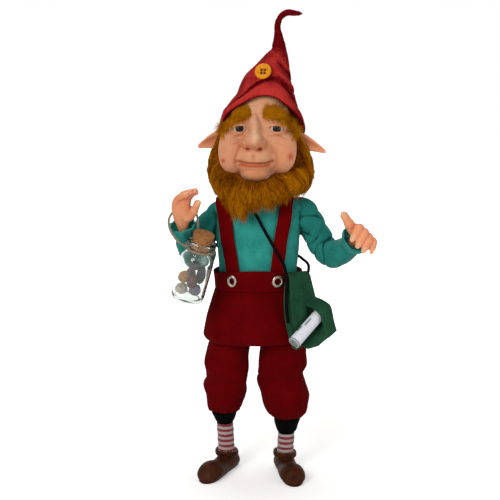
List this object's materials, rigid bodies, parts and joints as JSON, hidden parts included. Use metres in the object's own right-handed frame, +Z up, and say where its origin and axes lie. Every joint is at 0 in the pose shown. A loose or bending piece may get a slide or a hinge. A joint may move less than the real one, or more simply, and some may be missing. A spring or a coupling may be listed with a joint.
{
  "type": "elf figurine",
  "caption": "Standing bearded elf doll in a curled felt hat, sweater and baggy brace trousers, with a corked pebble bottle on twine and a felt satchel holding a paper roll.",
  "frame": {"origin": "centre of the bounding box's footprint, on the level of the shoe soles", "axes": "+Z up along the figure's height; the figure looks along -Y, and its bottle hangs on the -X side"},
  "size_m": [0.1334, 0.0762, 0.3165],
  "materials": {
    "skin": "satin vinyl doll skin",
    "hair": "mohair",
    "hat_felt": "wool felt",
    "button_yellow": "semi-gloss",
    "glass_eye": "gloss",
    "sweater_teal": "fine knit fleece",
    "body_cloth": "stuffed cloth",
    "trouser_red": "wool felt",
    "eyelet_metal": "nickel plated",
    "black_cloth": "stuffed cloth",
    "sock_stripe": "fine knit",
    "shoe_brown": "soft leather look",
    "bottle_glass": "clear",
    "cork_bark": "natural cork",
    "twine_jute": "twisted jute",
    "bag_felt": "felt",
    "cord_black": "round cord",
    "paper": "paper",
    "pebble_red": "polished stone",
    "pebble_grey": "polished stone",
    "pebble_pale": "polished stone"
  },
  "bodies": {
    "root": {"head": "skin", "eye_left": "glass_eye", "eye_right": "glass_eye", "eyebrow_left": "hair", "eyebrow_right": "hair", "beard": "hair", "hair": "hair", "hat": "hat_felt", "hat_button": "button_yellow", "stuffed_body": "body_cloth", "sweater": "sweater_teal", "hand_left": "skin", "hand_right": "skin", "waistband": "trouser_red", "eyelet_left": "eyelet_metal", "eyelet_right": "eyelet_metal", "brace_left": "trouser_red", "brace_right": "trouser_red", "trousers": "trouser_red", "leg_left": "black_cloth", "leg_right": "black_cloth", "sock_left": "sock_stripe", "sock_right": "sock_stripe", "shoe_left": "shoe_brown", "shoe_right": "shoe_brown", "bottle": "bottle_glass", "cork": "cork_bark", "pebble_lilac": "pebble_pale", "pebble_quartz": "pebble_pale", "pebble_brown": "pebble_red", "pebble_grey": "pebble_grey", "pebble_garnet": "pebble_red", "pebble_ochre": "pebble_pale", "pebble_black": "pebble_grey", "twine": "twine_jute", "satchel": "bag_felt", "satchel_flap": "bag_felt", "paper_roll": "paper", "satchel_cord": "cord_black"}
  },
  "joints": []
}
